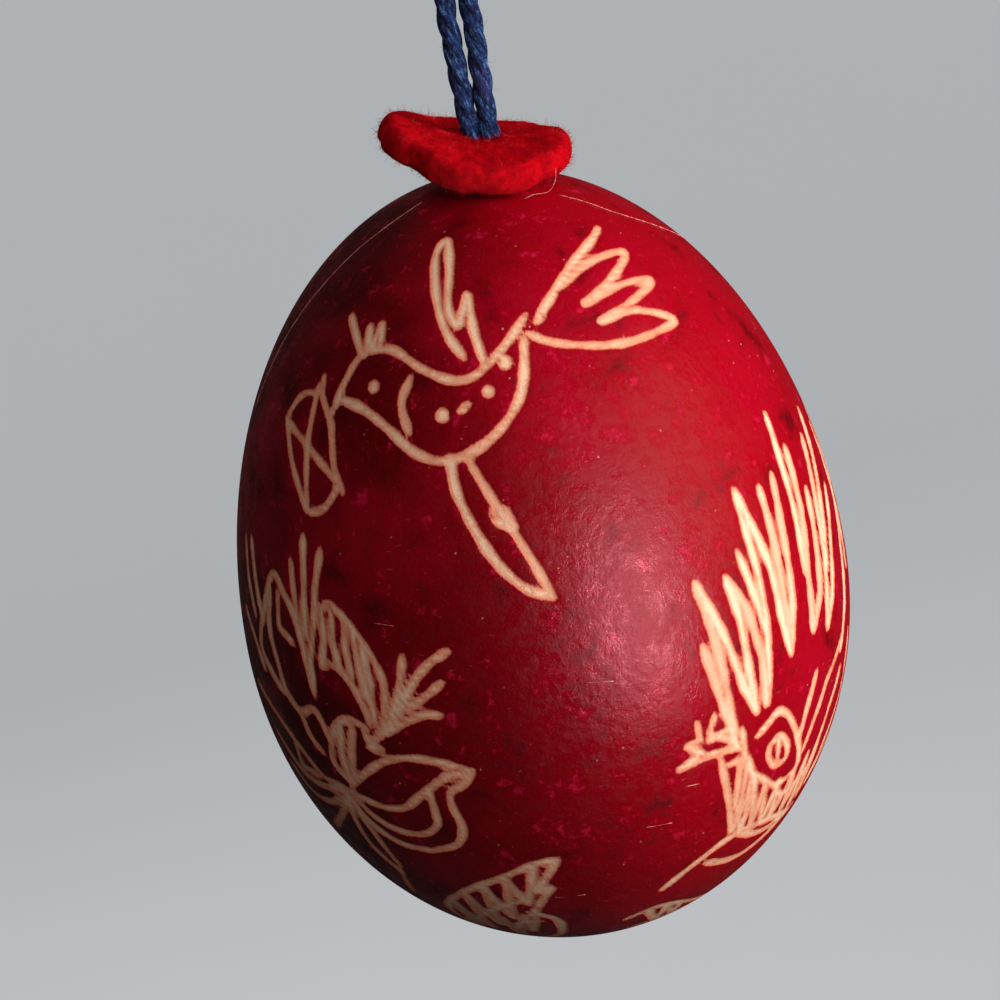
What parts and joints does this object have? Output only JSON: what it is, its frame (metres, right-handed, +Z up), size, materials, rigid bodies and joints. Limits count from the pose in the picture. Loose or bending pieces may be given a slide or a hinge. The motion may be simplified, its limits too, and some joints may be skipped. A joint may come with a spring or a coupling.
{
  "type": "hanging decorated egg",
  "caption": "Blown hen's egg hung on a doubled cord that runs through a felt washer to a toggle stick inside the shell; it swings, rocks and turns.",
  "frame": {"origin": "the inner top of the hanging loop, where the twig or hook that holds the part bears on it", "axes": "+Z up along the cord, away from the egg; X across the loop, from its left leg to its right; +Y through the loop, along the twig or hook, away from the viewer"},
  "size_m": [0.044, 0.044, 0.1081],
  "materials": {
    "shell_dye": "eggshell dyed dark crimson, satin, with a pale drawing scratched through the dye",
    "membrane_skin": "dry pale skin",
    "red_felt": "matte wool felt with loose fibres",
    "bare_wood": "bare, unvarnished",
    "blue_cotton": "twisted cotton, matte"
  },
  "bodies": {
    "loop_crown": {"cord_loop_crown": "blue_cotton"},
    "cord": {"cord_leg_left": "blue_cotton", "cord_leg_right": "blue_cotton", "cord_knot": "blue_cotton"},
    "toggle": {"toggle_stick": "bare_wood"},
    "egg": {"eggshell": "shell_dye", "shell_membrane": "membrane_skin"},
    "felt": {"felt_washer": "red_felt"}
  },
  "joints": [
    {"name": "loop_swing", "type": "hinge", "parent": "loop_crown", "child": "cord", "pos_m": [0, 0, 0], "axis": [0, 1, 0], "range_deg": [-25, 25], "deforming": ["cord_loop_crown"]},
    {"name": "egg_rock", "type": "hinge", "parent": "cord", "child": "toggle", "pos_m": [0, 0, -0.0551], "axis": [1, 0, 0], "range_deg": [-3, 3]},
    {"name": "egg_turn", "type": "hinge", "parent": "toggle", "child": "egg", "pos_m": [0, 0, -0.0551], "axis": [0, 0, 1], "continuous": true},
    {"name": "felt_slide", "type": "slide", "parent": "cord", "child": "felt", "axis": [0, 0, 1], "range_m": [0, 0.018]}
  ]
}
